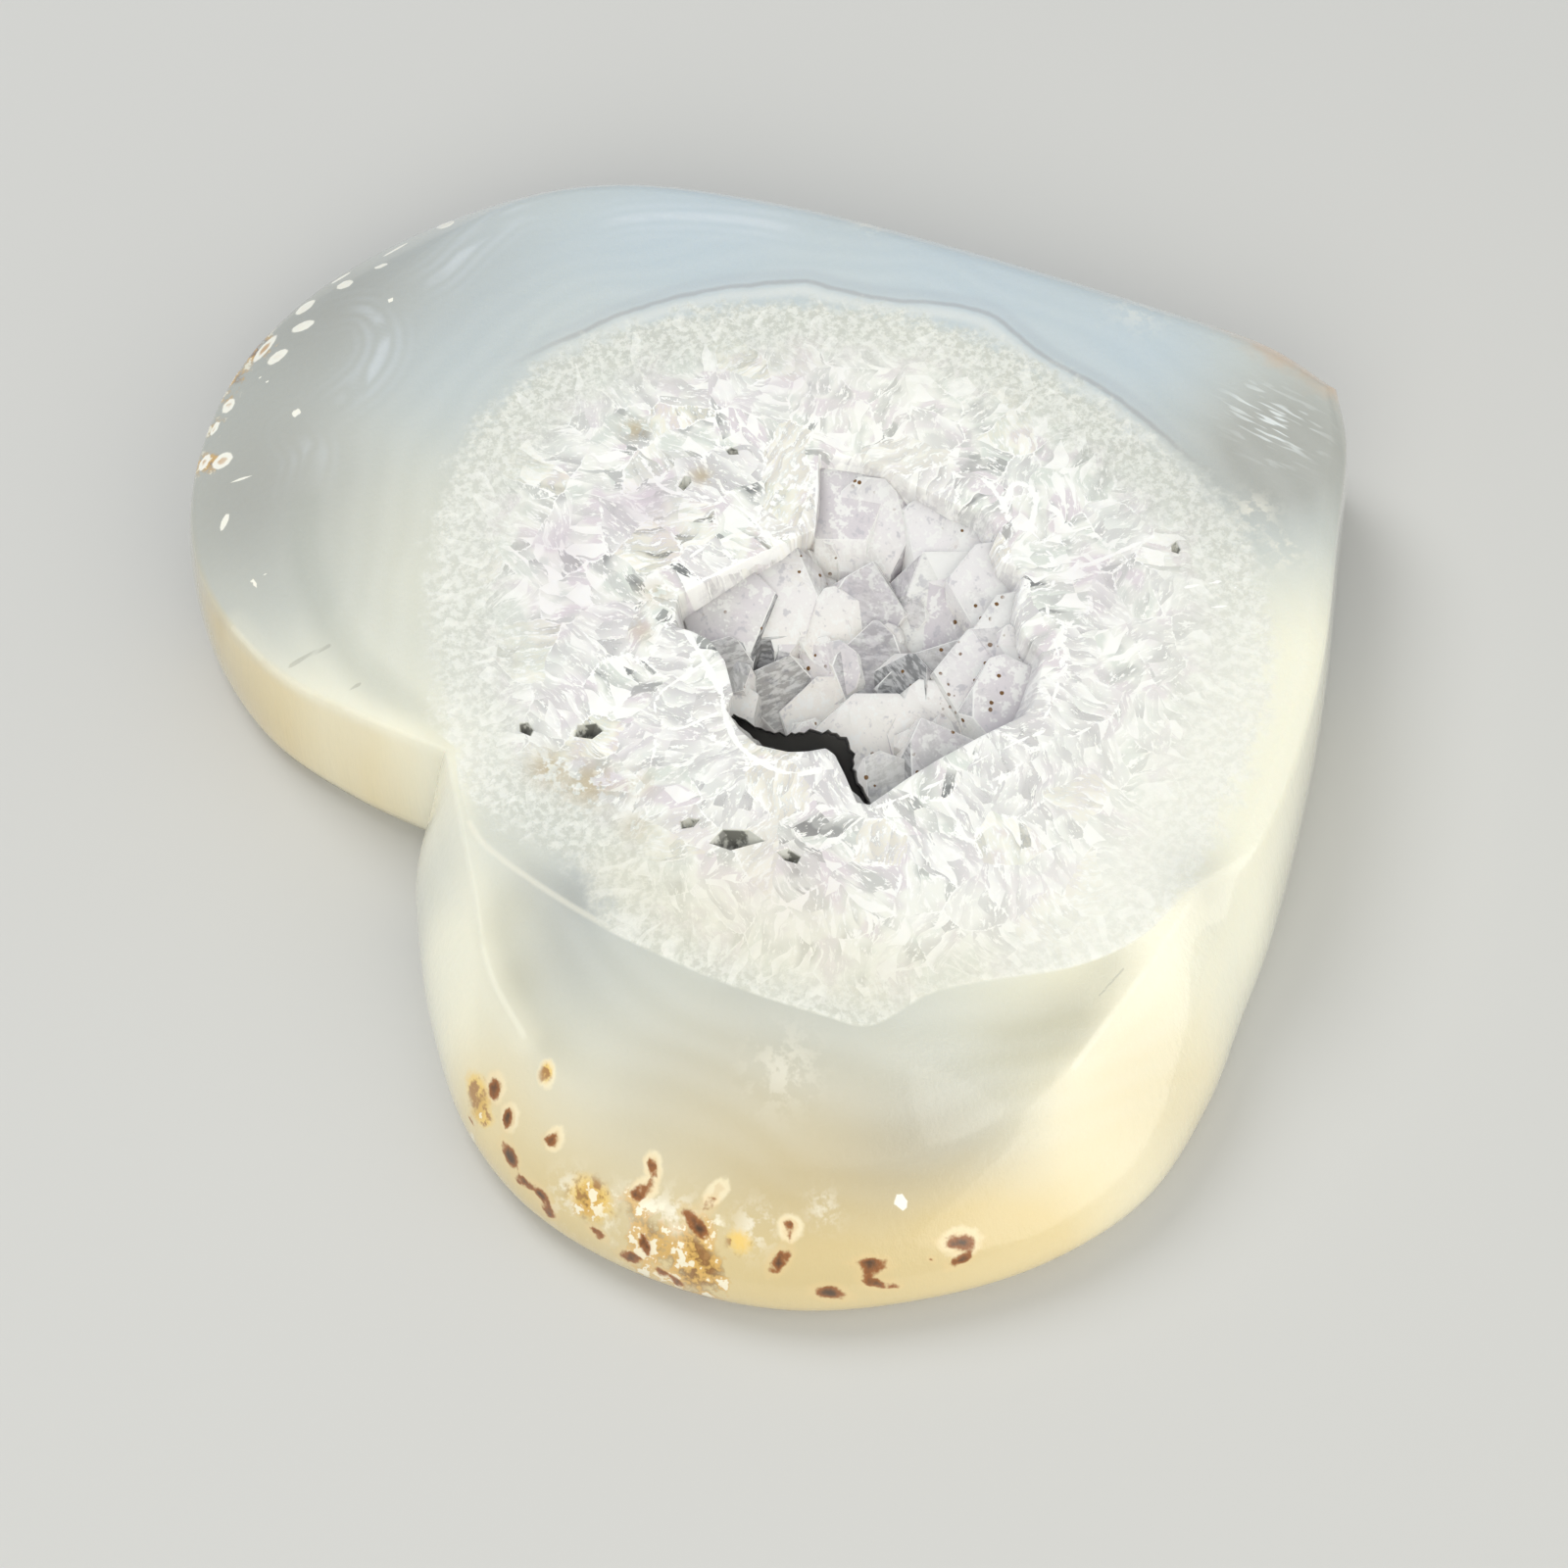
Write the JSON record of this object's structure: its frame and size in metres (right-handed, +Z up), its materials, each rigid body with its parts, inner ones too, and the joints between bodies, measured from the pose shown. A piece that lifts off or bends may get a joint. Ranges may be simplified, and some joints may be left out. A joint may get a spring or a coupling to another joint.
{
  "type": "polished agate specimen",
  "caption": "Heart-shaped slab of polished banded agate with slanted lobe facets and an open, crystal-lined quartz hollow; lies flat as a decorative mineral specimen.",
  "frame": {"origin": "centre of the bounding box, on the plane of the flat base", "axes": "+Z up through the polished table, -Y towards the heart's tip, +Y towards the notch, +X across the lobes"},
  "size_m": [0.0991, 0.0866, 0.0135],
  "materials": {
    "agate": "polished, translucent",
    "quartz": "clear crystal faces"
  },
  "bodies": {
    "root": {"agate_heart": "agate", "quartz_crust": "quartz"}
  },
  "joints": []
}
